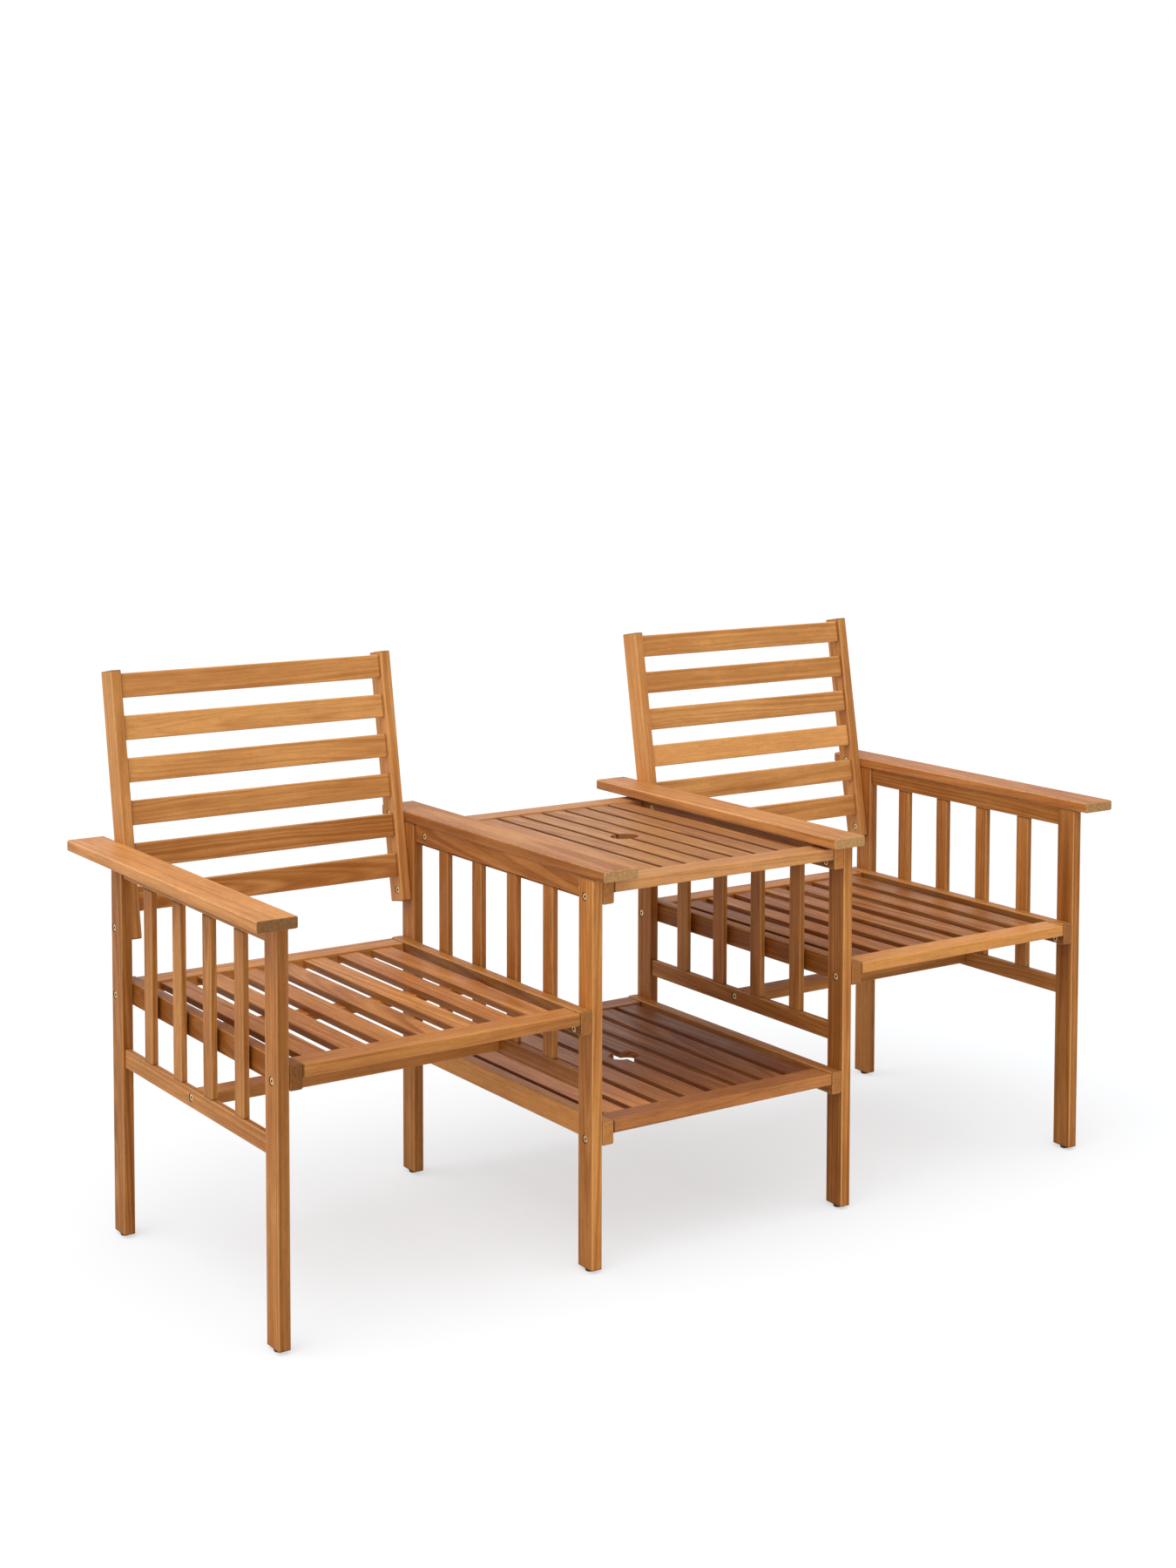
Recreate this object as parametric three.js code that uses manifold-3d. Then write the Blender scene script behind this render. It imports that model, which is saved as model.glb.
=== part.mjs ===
// A wooden companion seat: two slatted chairs side by side, with a table and a shelf between them.
// Sizes are in millimetres. +X is to the right of someone facing the seat, +Y to the back, +Z up.
// The origin is on the floor, under the middle of the seat. Heights are from the ends of the legs,
// and the finished seat is lifted on to its glides at the end.
import * as THREE from 'three';
import { mergeVertices } from 'three/addons/utils/BufferGeometryUtils.js';
import Module from 'manifold-3d';

const wasm = await Module();
wasm.setup();

// Overall sizes
const chairWidth = 489; // clear width between the two side frames of a chair
const tableWidth = 458; // clear width between the two chairs
const frameDepth = 565; // front of a front leg to the back of a rear leg
const seamGap = 0.3; // play where one board meets the next

// Legs and glides
const legThickness = 18;
const legDepth = 38;
const legLength = 583;
const legEasing = 2;
const glideRadius = 8;
const glideTaper = 1.5;
const glideHeight = 5;

// Arm boards, flush with the legs on the chair's side and overhanging on the other
const armWidth = 61;
const armThickness = 17;
const armFrontOverhang = 29;
const armRearOverhang = 68;
const armEasing = 3;

// Rails and slats of the side frames
const sideRailThickness = 10;
const upperRailHeight = 30;
const lowerRailHeight = 28;
const lowerRailDrop = 101.5; // its top, under the top of the seat bearers
const sideSlatWidth = 28;
const sideSlatCount = 4;
const slatEasing = 1.5;

// Bearers that carry the seats, the table and the shelf
const bearerThickness = 20;
const bearerHeight = 36;
const bearerEasing = 3;

// Front and back rails of the seats, the table and the shelf
const railDepth = 42;
const railThickness = 18;
const railEasing = 2;
const railSetDown = 2; // a rail's top lies this far under its bearers' tops
const tenonLength = 12; // how far a slat runs into a rail

// Seats
const armRise = 192; // underside of the arm boards over the top of the seat bearers
const seatSlatWidth = 38;
const seatSlatThickness = 10.5;
const seatSlatSetDown = 3; // under the rails' tops
const seatSlatCount = 7;
const battenWidth = 30;
const battenThickness = 12;
const battenHousing = 1; // how deep the slats are let into the batten

// Stretchers under the seats
const stretcherWidth = 38;
const stretcherThickness = 18;
const stretcherDrop = 4; // under the top of the lower side rails

// Table and shelf
const tableSetDown = 3; // top of the table's bearers under the arm boards
const tableMargin = 33.3; // between the outermost slats and the bearers
const tableSlatGap = 6.6;
const tableSlatCount = 8;
const shelfTop = 221; // top of the shelf's bearers
const shelfMargin = 13;
const shelfSlatGap = 12.4;
const shelfSlatCount = 8;
const deckSlatThickness = 10.5;
const deckSlatSetDown = 2; // under the rails' tops
const poleRadius = 20;
const poleLead = 6.5; // how far the pole hole is ahead of the middle
const cutOverrun = 5; // how far a cut runs past the wood

// Chair backs
const backTiltDegrees = 10;
const backFootInset = 33.5; // a post's lower front corner, ahead of the back of the rear leg
const backFootDrop = 127; // the same corner, under the arm boards
const postLength = 412;
const postDepth = 39;
const postThickness = 18;
const postEasing = 3;
const backSlatHeight = 38;
const backSlatThickness = 15;
const backSlatRecess = 6; // behind the front of the posts
const backSlatPitch = 65.5;
const backSlatSetDown = 5.5; // top slat under the top of the posts
const backSlatCount = 6;

// Smoothness of rounded forms
const edgeSteps = 1;
const endSteps = 2;
const endEasingShare = 0.6; // of the easing along the edges, taken at the ends of a board
const glideSides = 24;
const poleHoleSides = 48;

// Heights that follow from the sizes above
const seatTop = legLength - armRise; // top of the seat bearers
const lowerRailTop = seatTop - lowerRailDrop;
const tableTop = legLength - tableSetDown; // top of the table's bearers

const wood = {
  frame: { color: '#c78a4e', roughness: 0.55, metalness: 0 },
  arm: { color: '#c9925a', roughness: 0.5, metalness: 0 },
  seat: { color: '#c0733f', roughness: 0.5, metalness: 0 },
  table: { color: '#c98f62', roughness: 0.5, metalness: 0 },
  shelf: { color: '#b06a3d', roughness: 0.55, metalness: 0 },
  back: { color: '#cd8c4a', roughness: 0.5, metalness: 0 },
};
const glidePlastic = { color: '#4a2f20', roughness: 0.6, metalness: 0 };

// Which two sizes of a board make its section, and how the section is turned to run along the third
const layouts = {
  x: { section: ['z', 'y'], turn: (geometry) => geometry.rotateY(Math.PI / 2) },
  y: { section: ['x', 'z'], turn: (geometry) => geometry.rotateX(-Math.PI / 2) },
  z: { section: ['x', 'y'], turn: (geometry) => geometry },
};

function roundedSection(width, height, radius) {
  const right = width / 2;
  const top = height / 2;
  const shape = new THREE.Shape();
  shape.moveTo(radius - right, -top);
  shape.lineTo(right - radius, -top);
  shape.absarc(right - radius, radius - top, radius, -Math.PI / 2, 0);
  shape.lineTo(right, top - radius);
  shape.absarc(right - radius, top - radius, radius, 0, Math.PI / 2);
  shape.lineTo(radius - right, top);
  shape.absarc(radius - right, top - radius, radius, Math.PI / 2, Math.PI);
  shape.lineTo(-right, radius - top);
  shape.absarc(radius - right, radius - top, radius, Math.PI, Math.PI * 1.5);
  return shape;
}

// A board about its own middle, with its long edges eased and square ends
function board(size, along, easing) {
  const { section, turn } = layouts[along];
  const shape = roundedSection(size[section[0]], size[section[1]], easing);
  const length = size[along];
  const geometry = new THREE.ExtrudeGeometry(shape, {
    depth: length,
    bevelEnabled: false,
    curveSegments: edgeSteps,
  });
  return turn(geometry.translate(0, 0, -length / 2));
}

// A board about its own middle, with all its edges eased, the ends too
function easedBoard(size, along, easing) {
  const { section, turn } = layouts[along];
  const shape = roundedSection(size[section[0]], size[section[1]], easing);
  const endEasing = easing * endEasingShare;
  const straight = size[along] - 2 * endEasing;
  const geometry = new THREE.ExtrudeGeometry(shape, {
    depth: straight,
    bevelThickness: endEasing,
    bevelSize: endEasing,
    bevelOffset: -endEasing,
    bevelSegments: endSteps,
    curveSegments: edgeSteps,
  });
  return turn(geometry.translate(0, 0, -straight / 2));
}

function solidOf(geometry) {
  const bare = geometry.clone();
  bare.deleteAttribute('normal');
  bare.deleteAttribute('uv');
  const merged = mergeVertices(bare);
  const vertProperties = new Float32Array(merged.attributes.position.array);
  const triVerts = new Uint32Array(merged.index.array);
  return new wasm.Manifold(new wasm.Mesh({ numProp: 3, vertProperties, triVerts }));
}

function geometryOf(solid) {
  const { vertProperties, triVerts } = solid.getMesh();
  const geometry = new THREE.BufferGeometry();
  geometry.setAttribute('position', new THREE.BufferAttribute(vertProperties, 3));
  geometry.setIndex(new THREE.BufferAttribute(triVerts, 1));
  geometry.computeVertexNormals();
  return geometry;
}

function joined(geometries) {
  const solids = geometries.map(solidOf);
  return solids.reduce((whole, solid) => whole.add(solid));
}

function piece(name, geometry, finish, x, y, z) {
  const mesh = new THREE.Mesh(geometry, new THREE.MeshStandardMaterial(finish));
  mesh.name = name;
  mesh.position.set(x, y, z);
  return mesh;
}

// Front leg, rear leg and their glides
function legs(name) {
  const group = new THREE.Group();
  const legSize = { x: legThickness, y: legDepth, z: legLength };
  const setbacks = { front: legDepth / 2, rear: frameDepth - legDepth / 2 };
  for (const [place, setback] of Object.entries(setbacks)) {
    const leg = easedBoard(legSize, 'z', legEasing);
    group.add(piece(`${name}_${place}_leg`, leg, wood.frame, 0, setback, legLength / 2));
    const glide = new THREE.CylinderGeometry(glideRadius, glideRadius - glideTaper, glideHeight, glideSides);
    glide.rotateX(Math.PI / 2);
    group.add(piece(`${name}_${place}_glide`, glide, glidePlastic, 0, setback, -glideHeight / 2));
  }
  return group;
}

// `towardsChair` is 1 when the chair is on the frame's +X side and -1 when it is on the other
function armBoard(name, towardsChair) {
  const size = { x: armWidth, y: armFrontOverhang + frameDepth + armRearOverhang, z: armThickness };
  const x = towardsChair * (legThickness - armWidth) / 2;
  const y = (frameDepth + armRearOverhang - armFrontOverhang) / 2;
  const z = legLength + armThickness / 2;
  return piece(`${name}_arm_board`, easedBoard(size, 'y', armEasing), wood.arm, x, y, z);
}

function upperSideRail(name) {
  const size = { x: sideRailThickness, y: frameDepth - 2 * (legDepth + seamGap), z: upperRailHeight - seamGap };
  const z = legLength - seamGap - size.z / 2;
  return piece(`${name}_upper_rail`, board(size, 'y', slatEasing), wood.frame, 0, frameDepth / 2, z);
}

// The lower side rail with the upright slats that stand in it
function slattedSide(name) {
  const railLength = frameDepth - 2 * (legDepth + seamGap);
  const slatBottom = lowerRailTop - tenonLength;
  const slatTop = legLength - upperRailHeight - seamGap;
  const slatGap = (frameDepth - 2 * legDepth - sideSlatCount * sideSlatWidth) / (sideSlatCount + 1);
  const rail = board({ x: sideRailThickness, y: railLength, z: lowerRailHeight }, 'y', slatEasing);
  const boards = [rail.translate(0, frameDepth / 2, lowerRailTop - lowerRailHeight / 2)];
  for (let i = 0; i < sideSlatCount; i += 1) {
    const slat = board({ x: sideRailThickness, y: sideSlatWidth, z: slatTop - slatBottom }, 'z', slatEasing);
    const y = legDepth + slatGap + sideSlatWidth / 2 + i * (sideSlatWidth + slatGap);
    boards.push(slat.translate(0, y, (slatTop + slatBottom) / 2));
  }
  return piece(`${name}_lower_rail_with_slats`, geometryOf(joined(boards)), wood.frame, 0, 0, 0);
}

function sideFrame(name, towardsChair) {
  const group = new THREE.Group();
  group.add(legs(name));
  group.add(armBoard(name, towardsChair));
  group.add(upperSideRail(name));
  group.add(slattedSide(name));
  return group;
}

// The two bearers that carry a deck between frames that are `width` apart
function bearers(name, width, top, finish) {
  const group = new THREE.Group();
  const size = { x: bearerThickness, y: frameDepth, z: bearerHeight };
  for (const [place, side] of [['left', -1], ['right', 1]]) {
    const x = side * (width / 2 - seamGap - bearerThickness / 2);
    const bearer = easedBoard(size, 'y', bearerEasing);
    group.add(piece(`${name}_${place}_bearer`, bearer, finish, x, frameDepth / 2, top - bearerHeight / 2));
  }
  return group;
}

// Front and back rails of a deck, between its bearers
function deckRails(width, top) {
  const size = { x: width - 2 * (2 * seamGap + bearerThickness), y: railDepth, z: railThickness };
  const z = top - railSetDown - railThickness / 2;
  return [railDepth / 2, frameDepth - railDepth / 2].map((y) => board(size, 'x', railEasing).translate(0, y, z));
}

// Slats from the front rail to the back rail, side by side about the middle
function deckSlats(count, slatWidth, gap, thickness, top) {
  const length = frameDepth - 2 * (railDepth - tenonLength);
  const size = { x: slatWidth, y: length, z: thickness };
  const pitch = slatWidth + gap;
  const slats = [];
  for (let i = 0; i < count; i += 1) {
    const x = (i - (count - 1) / 2) * pitch;
    slats.push(board(size, 'y', slatEasing).translate(x, frameDepth / 2, top - thickness / 2));
  }
  return slats;
}

function seatPanel(name) {
  const slatTop = seatTop - railSetDown - seatSlatSetDown;
  const clear = chairWidth - 2 * (2 * seamGap + bearerThickness);
  const gap = (clear - seatSlatCount * seatSlatWidth) / (seatSlatCount + 1);
  const slats = deckSlats(seatSlatCount, seatSlatWidth, gap, seatSlatThickness, slatTop);
  const batten = board({ x: clear, y: battenWidth, z: battenThickness }, 'x', slatEasing);
  const battenTop = slatTop - seatSlatThickness + battenHousing;
  batten.translate(0, frameDepth / 2, battenTop - battenThickness / 2);
  const panel = joined([...deckRails(chairWidth, seatTop), ...slats, batten]);
  return piece(`${name}_seat_panel`, geometryOf(panel), wood.seat, 0, 0, 0);
}

// The slatted panel of the table or of the shelf. Its two middle slats each have a half-round notch in
// their facing edges, which together let the pole of a sunshade through.
function polePanel(name, top, count, margin, gap, finish) {
  const slatTop = top - railSetDown - deckSlatSetDown;
  const clear = tableWidth - 2 * (2 * seamGap + bearerThickness);
  const slatWidth = (clear - 2 * margin - (count - 1) * gap) / count;
  const slats = deckSlats(count, slatWidth, gap, deckSlatThickness, slatTop);
  const cutHeight = deckSlatThickness + 2 * cutOverrun;
  const notches = [-gap / 2, gap / 2].map((x) => {
    const notch = new THREE.CylinderGeometry(poleRadius, poleRadius, cutHeight, poleHoleSides);
    notch.rotateX(Math.PI / 2);
    return notch.translate(x, frameDepth / 2 - poleLead, slatTop - deckSlatThickness / 2);
  });
  const panel = joined([...deckRails(tableWidth, top), ...slats]).subtract(joined(notches));
  return piece(`${name}_panel`, geometryOf(panel), finish, 0, 0, 0);
}

// The board that ties the lower side rails of a chair's two frames together
function stretcher(name) {
  const railRecess = (legThickness - sideRailThickness) / 2;
  const length = chairWidth + 2 * (railRecess - seamGap);
  const size = { x: length, y: stretcherWidth, z: stretcherThickness };
  const z = lowerRailTop - stretcherDrop - stretcherThickness / 2;
  return piece(`${name}_stretcher`, board(size, 'x', railEasing), wood.frame, 0, frameDepth / 2, z);
}

// Two posts and the slats between them, leaning back against the ends of the arm boards
function chairBack(name) {
  const group = new THREE.Group();
  const postSize = { x: postThickness, y: postDepth, z: postLength };
  for (const [place, side] of [['left', -1], ['right', 1]]) {
    const x = side * (chairWidth / 2 - seamGap - postThickness / 2);
    const post = easedBoard(postSize, 'z', postEasing);
    group.add(piece(`${name}_${place}_back_post`, post, wood.back, x, postDepth / 2, postLength / 2));
  }
  const slatLength = chairWidth - 2 * (2 * seamGap + postThickness);
  const slatSize = { x: slatLength, y: backSlatThickness, z: backSlatHeight };
  for (let i = 0; i < backSlatCount; i += 1) {
    const y = backSlatRecess + backSlatThickness / 2;
    const z = postLength - backSlatSetDown - backSlatHeight / 2 - i * backSlatPitch;
    const slat = board(slatSize, 'x', slatEasing);
    group.add(piece(`${name}_back_slat_${i + 1}`, slat, wood.back, 0, y, z));
  }
  group.position.set(0, frameDepth - backFootInset, legLength - backFootDrop);
  group.rotation.x = -THREE.MathUtils.degToRad(backTiltDegrees);
  return group;
}

// A chair between its two frames, `side` being -1 for the left one and 1 for the right one
function chair(name, side) {
  const group = new THREE.Group();
  const frameSpacing = chairWidth + legThickness;
  for (const [place, across] of [['outer', side], ['inner', -side]]) {
    const frame = sideFrame(`${name}_${place}`, -across);
    frame.position.x = across * frameSpacing / 2;
    group.add(frame);
  }
  group.add(bearers(`${name}_seat`, chairWidth, seatTop, wood.seat));
  group.add(seatPanel(name));
  group.add(stretcher(name));
  group.add(chairBack(name));
  group.position.x = side * (tableWidth / 2 + legThickness + chairWidth / 2);
  return group;
}

function tableAndShelf() {
  const group = new THREE.Group();
  group.add(bearers('table', tableWidth, tableTop, wood.table));
  group.add(polePanel('table', tableTop, tableSlatCount, tableMargin, tableSlatGap, wood.table));
  group.add(bearers('shelf', tableWidth, shelfTop, wood.shelf));
  group.add(polePanel('shelf', shelfTop, shelfSlatCount, shelfMargin, shelfSlatGap, wood.shelf));
  return group;
}

const seat = new THREE.Group();
seat.add(chair('left_chair', -1));
seat.add(chair('right_chair', 1));
seat.add(tableAndShelf());

// The floor is under the glides, and the origin under the middle of the whole
const extent = new THREE.Box3().setFromObject(seat);
const middle = extent.getCenter(new THREE.Vector3());
seat.position.set(0, -middle.y, glideHeight);

export default seat;
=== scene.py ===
import math
import random

import bpy
from mathutils import Matrix, Vector


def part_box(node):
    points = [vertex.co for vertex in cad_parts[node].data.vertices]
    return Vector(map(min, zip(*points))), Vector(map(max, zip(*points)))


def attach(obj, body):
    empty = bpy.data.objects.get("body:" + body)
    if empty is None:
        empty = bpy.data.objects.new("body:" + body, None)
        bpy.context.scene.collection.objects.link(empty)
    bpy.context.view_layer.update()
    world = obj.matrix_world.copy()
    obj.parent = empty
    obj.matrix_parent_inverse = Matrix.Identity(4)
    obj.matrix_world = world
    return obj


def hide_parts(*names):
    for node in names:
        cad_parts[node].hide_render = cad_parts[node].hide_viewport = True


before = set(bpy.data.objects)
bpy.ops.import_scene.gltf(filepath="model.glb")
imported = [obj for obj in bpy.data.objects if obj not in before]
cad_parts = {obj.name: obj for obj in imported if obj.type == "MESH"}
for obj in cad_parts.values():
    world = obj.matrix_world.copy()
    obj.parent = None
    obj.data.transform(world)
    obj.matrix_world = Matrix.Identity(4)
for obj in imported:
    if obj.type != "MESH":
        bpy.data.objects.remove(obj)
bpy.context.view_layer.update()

mm = 0.001
hair = 0.01 * mm  # places nearer than this are the same
luck = random.Random(58)

# axis numbers, so that places read as words
axisOf = {"x": 0, "y": 1, "z": 2}


# helpers for meshes


def pickOnly(piece):
    bpy.ops.object.select_all(action="DESELECT")
    piece.select_set(True)
    bpy.context.view_layer.objects.active = piece


def limits(piece):
    places = [corner.co for corner in piece.data.vertices]
    low = Vector(min(place[i] for place in places) for i in range(3))
    high = Vector(max(place[i] for place in places) for i in range(3))
    return low, high


def faceAt(piece, side):
    # where the piece's low (-1) or high (+1) X side is
    low, high = limits(piece)
    return high.x if side > 0 else low.x


def easeEdges(piece, wanted, width, steps):
    # bevels the edges for which wanted(start, end) holds
    pickOnly(piece)
    bpy.ops.object.mode_set(mode="EDIT")
    bpy.ops.mesh.select_mode(type="EDGE")
    bpy.ops.mesh.select_all(action="DESELECT")
    bpy.ops.object.mode_set(mode="OBJECT")
    spots = piece.data.vertices
    for edge in piece.data.edges:
        start, end = (spots[number].co for number in edge.vertices)
        edge.select = wanted(start, end)
    bpy.ops.object.mode_set(mode="EDIT")
    bpy.ops.mesh.bevel(offset=width, segments=steps, affect="EDGES")
    bpy.ops.object.mode_set(mode="OBJECT")


def addCylinder(sides, radius, length, middle, along):
    bpy.ops.object.select_all(action="DESELECT")
    turn = (0, math.pi / 2, 0) if along == "x" else (0, 0, 0)
    bpy.ops.mesh.primitive_cylinder_add(vertices=sides, radius=radius, depth=length, location=middle,
                                        rotation=turn)
    return bpy.context.active_object


def cutAway(piece, tool):
    # takes the tool's shape out of the piece, and clears the tool away
    pickOnly(piece)
    cut = piece.modifiers.new("cut", "BOOLEAN")
    cut.operation = "DIFFERENCE"
    cut.solver = "EXACT"
    cut.object = tool
    bpy.ops.object.modifier_apply(modifier=cut.name)
    bpy.data.objects.remove(tool)


def copyOf(model, name, move):
    piece = model.copy()
    piece.data = model.data.copy()
    piece.name = name
    piece.data.name = name
    bpy.context.collection.objects.link(piece)
    piece.data.transform(move)
    return piece


def finishPiece(name, boards, cadNode=None, finish=None):
    # joins the boards to one piece, names it, gives it its finish when one is named, hangs it on the root
    # body and hides the CAD node that it stands for
    bpy.ops.object.select_all(action="DESELECT")
    for board in boards:
        board.select_set(True)
    piece = boards[0]
    bpy.context.view_layer.objects.active = piece
    if len(boards) > 1:
        bpy.ops.object.join()
    piece.name = name
    piece.data.name = name
    if finish:
        piece.data.materials.clear()
        piece.data.materials.append(finishes[finish])
    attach(piece, "root")
    if cadNode:
        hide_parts(cadNode)


# helpers for materials


def newGroup(name, inputs, outputs):
    tree = bpy.data.node_groups.new(name, "ShaderNodeTree")
    for label, kind, value in inputs:
        made = tree.interface.new_socket(name=label, in_out="INPUT", socket_type="NodeSocket" + kind)
        made.default_value = value
    for label, kind in outputs:
        tree.interface.new_socket(name=label, in_out="OUTPUT", socket_type="NodeSocket" + kind)
    return tree, tree.nodes.new("NodeGroupInput").outputs, tree.nodes.new("NodeGroupOutput").inputs


def newMaterial(name):
    material = bpy.data.materials.new(name)
    material.use_nodes = True
    tree = material.node_tree
    return material, tree, tree.nodes["Principled BSDF"].inputs


def plug(tree, value, socket):
    if isinstance(value, bpy.types.NodeSocket):
        tree.links.new(value, socket)
    else:
        socket.default_value = value


def maths(tree, operation, *values):
    node = tree.nodes.new("ShaderNodeMath")
    node.operation = operation
    for value, socket in zip(values, node.inputs):
        plug(tree, value, socket)
    return node.outputs[0]


def plus(tree, first, second):
    return maths(tree, "ADD", first, second)


def minus(tree, first, second):
    return maths(tree, "SUBTRACT", first, second)


def times(tree, first, second):
    return maths(tree, "MULTIPLY", first, second)


def vectorMaths(tree, operation, *values):
    node = tree.nodes.new("ShaderNodeVectorMath")
    node.operation = operation
    for value, socket in zip(values, node.inputs):
        plug(tree, value, socket)
    return node.outputs["Value" if operation in ("LENGTH", "DOT_PRODUCT") else "Vector"]


def noiseAt(tree, place, detail=2.0, roughness=0.5, dimensions="3D"):
    node = tree.nodes.new("ShaderNodeTexNoise")
    node.noise_dimensions = dimensions
    node.inputs["Scale"].default_value = 1.0
    node.inputs["Detail"].default_value = detail
    node.inputs["Roughness"].default_value = roughness
    plug(tree, place, node.inputs["W" if dimensions == "1D" else "Vector"])
    return node.outputs["Fac"]


def spread(tree, value, span, newSpan=(0.0, 1.0), kind="SMOOTHSTEP"):
    # turns the values from span's first number to its last into those of newSpan
    node = tree.nodes.new("ShaderNodeMapRange")
    node.interpolation_type = kind
    plug(tree, value, node.inputs["Value"])
    for number, label in zip((*span, *newSpan), ("From Min", "From Max", "To Min", "To Max")):
        plug(tree, number, node.inputs[label])
    return node.outputs["Result"]


def blend(tree, kind, amount, under, over):
    node = tree.nodes.new("ShaderNodeMix")
    node.data_type = "RGBA"
    node.blend_type = kind
    node.clamp_factor = True
    plug(tree, amount, node.inputs[0])
    plug(tree, under, node.inputs[6])
    plug(tree, over, node.inputs[7])
    return node.outputs[2]


def parts(tree, vector):
    node = tree.nodes.new("ShaderNodeSeparateXYZ")
    plug(tree, vector, node.inputs[0])
    return node.outputs


def together(tree, x, y, z):
    node = tree.nodes.new("ShaderNodeCombineXYZ")
    for value, socket in zip((x, y, z), node.inputs):
        plug(tree, value, socket)
    return node.outputs[0]


def measureOf(tree, label, kind="Vector"):
    reader = tree.nodes.new("ShaderNodeAttribute")
    reader.attribute_name = label
    return reader.outputs[kind]


def bumpFrom(tree, height, look):
    bump = tree.nodes.new("ShaderNodeBump")
    bump.inputs["Strength"].default_value = look["bumpStrength"]
    bump.inputs["Distance"].default_value = look["bumpDistance"]
    tree.links.new(height, bump.inputs["Height"])
    return bump.outputs["Normal"]


def groupIn(tree, group, values):
    node = tree.nodes.new("ShaderNodeGroup")
    node.node_tree = group
    for label, value in values.items():
        plug(tree, value, node.inputs[label])
    return node.outputs


def paint(red, green, blue):
    # a colour as seen on the screen, 0 to 255, turned into the shader's own scale
    def one(value):
        value /= 255
        return value / 12.92 if value <= 0.04045 else ((value + 0.055) / 1.055) ** 2.4
    return (one(red), one(green), one(blue), 1.0)


# the wood

# Each board carries three measures of its own: place (metres from its middle, along, across and through),
# half (half its size, the same way round) and tree (a chance number, its tone and how rosy it is).
# Each of its faces carries a painted shade, which under 0 is painted light.

# a log, and how far the boards' places in it spread; lengths in metres
logLook = {"chanceSteps": (17.31, 71.77), "reach": 40.0, "slope": 0.09, "pithAcross": 0.11,
           "pithThrough": 0.018, "pithSpread": 0.04, "ringReach": 90.0}

# the noises of the grain, with their waves in each metre along and across the board
grainLook = {
    "wander": {"waves": (3.2, 13.0), "detail": 2.0, "roughness": 0.5},
    "rings": {"detail": 2.0, "roughness": 0.6, "span": (0.28, 0.72)},
    "streaks": {"waves": (10.0, 280.0), "detail": 3.0, "roughness": 0.65, "share": 0.45},
    "hairs": {"waves": (26.0, 900.0), "detail": 2.0, "roughness": 0.6, "share": 0.3},
    "mottle": {"waves": (34.0, 110.0), "detail": 3.0, "roughness": 0.6, "share": 0.25},
    "fibres": {"span": (0.36, 0.64)},
    "pores": {"waves": (95.0, 1500.0), "detail": 1.0, "roughness": 0.4, "span": (0.62, 0.74)},
    "clouds": {"waves": (6.0, 22.0), "detail": 2.0, "roughness": 0.5, "span": (0.3, 0.7)},
    "rays": {"crossWaves": (900.0, 170.0), "detail": 2.0, "roughness": 0.6, "span": (0.38, 0.62)},
}


def acaciaGrain():
    tree, given, put = newGroup(
        "acaciaGrain",
        [("Place", "Vector", (0, 0, 0)), ("Tree", "Vector", (0, 0, 0)),
         ("Ring Width", "Float", 0.005), ("Figure", "Float", 0.006)],
        [("Rings", "Float"), ("Fibres", "Float"), ("Pores", "Float"), ("Clouds", "Float"), ("Rays", "Float")])
    along, across, through = parts(tree, given["Place"])
    # each board is cut from another place of the log, by three chance numbers that come from its first
    chance = parts(tree, given["Tree"])[0]
    chanceB, chanceC = (maths(tree, "FRACT", times(tree, chance, step)) for step in logLook["chanceSteps"])
    away = together(tree, *[times(tree, number, logLook["reach"]) for number in (chance, chanceB, chanceC)])

    def noiseOf(name, place, dimensions="3D"):
        look = grainLook[name]
        return noiseAt(tree, place, look["detail"], look["roughness"], dimensions)

    def stretched(name):
        alongWaves, acrossWaves = grainLook[name]["waves"]
        scaled = vectorMaths(tree, "MULTIPLY", given["Place"], (alongWaves, acrossWaves, acrossWaves))
        return noiseOf(name, vectorMaths(tree, "ADD", scaled, away))

    wander = times(tree, minus(tree, stretched("wander"), 0.5), 2.0)
    wander = times(tree, wander, given["Figure"])
    slope = times(tree, minus(tree, chanceC, 0.5), logLook["slope"])
    pithAcross = times(tree, minus(tree, chanceB, 0.5), logLook["pithAcross"])
    pithThrough = plus(tree, times(tree, chanceC, logLook["pithSpread"]), logLook["pithThrough"])
    fromPith = vectorMaths(tree, "LENGTH", together(
        tree, 0.0,
        plus(tree, plus(tree, across, pithAcross), wander),
        plus(tree, plus(tree, through, pithThrough), times(tree, along, slope))))
    ringPlace = plus(tree, maths(tree, "DIVIDE", fromPith, given["Ring Width"]),
                     times(tree, chance, logLook["ringReach"]))
    streaks, hairs, mottle = (times(tree, stretched(name), grainLook[name]["share"])
                              for name in ("streaks", "hairs", "mottle"))
    # the rays are fine streaks across the end grain, at a slant
    sumWaves, differenceWaves = grainLook["rays"]["crossWaves"]
    slant = vectorMaths(tree, "ADD", away, together(
        tree, 0.0, times(tree, plus(tree, across, through), sumWaves),
        times(tree, minus(tree, across, through), differenceWaves)))
    found = {"Rings": noiseOf("rings", ringPlace, "1D"),
             "Fibres": plus(tree, plus(tree, streaks, hairs), mottle),
             "Pores": stretched("pores"),
             "Clouds": stretched("clouds"),
             "Rays": noiseOf("rays", slant)}
    for label, value in found.items():
        plug(tree, spread(tree, value, grainLook[label.lower()]["span"]), put[label])
    return tree


# depths are under a board's end; the edges round the end grain hardly show
edgeWearAndHighlight = {"waves": (60.0, 300.0, 300.0), "leastWidth": 0.5, "keptDepths": (1 * mm, 5 * mm),
            "kept": (0.2, 1.0), "endDepths": (1.2 * mm, 0.3 * mm), "jointDepths": (3 * mm, 0.3 * mm)}


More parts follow.
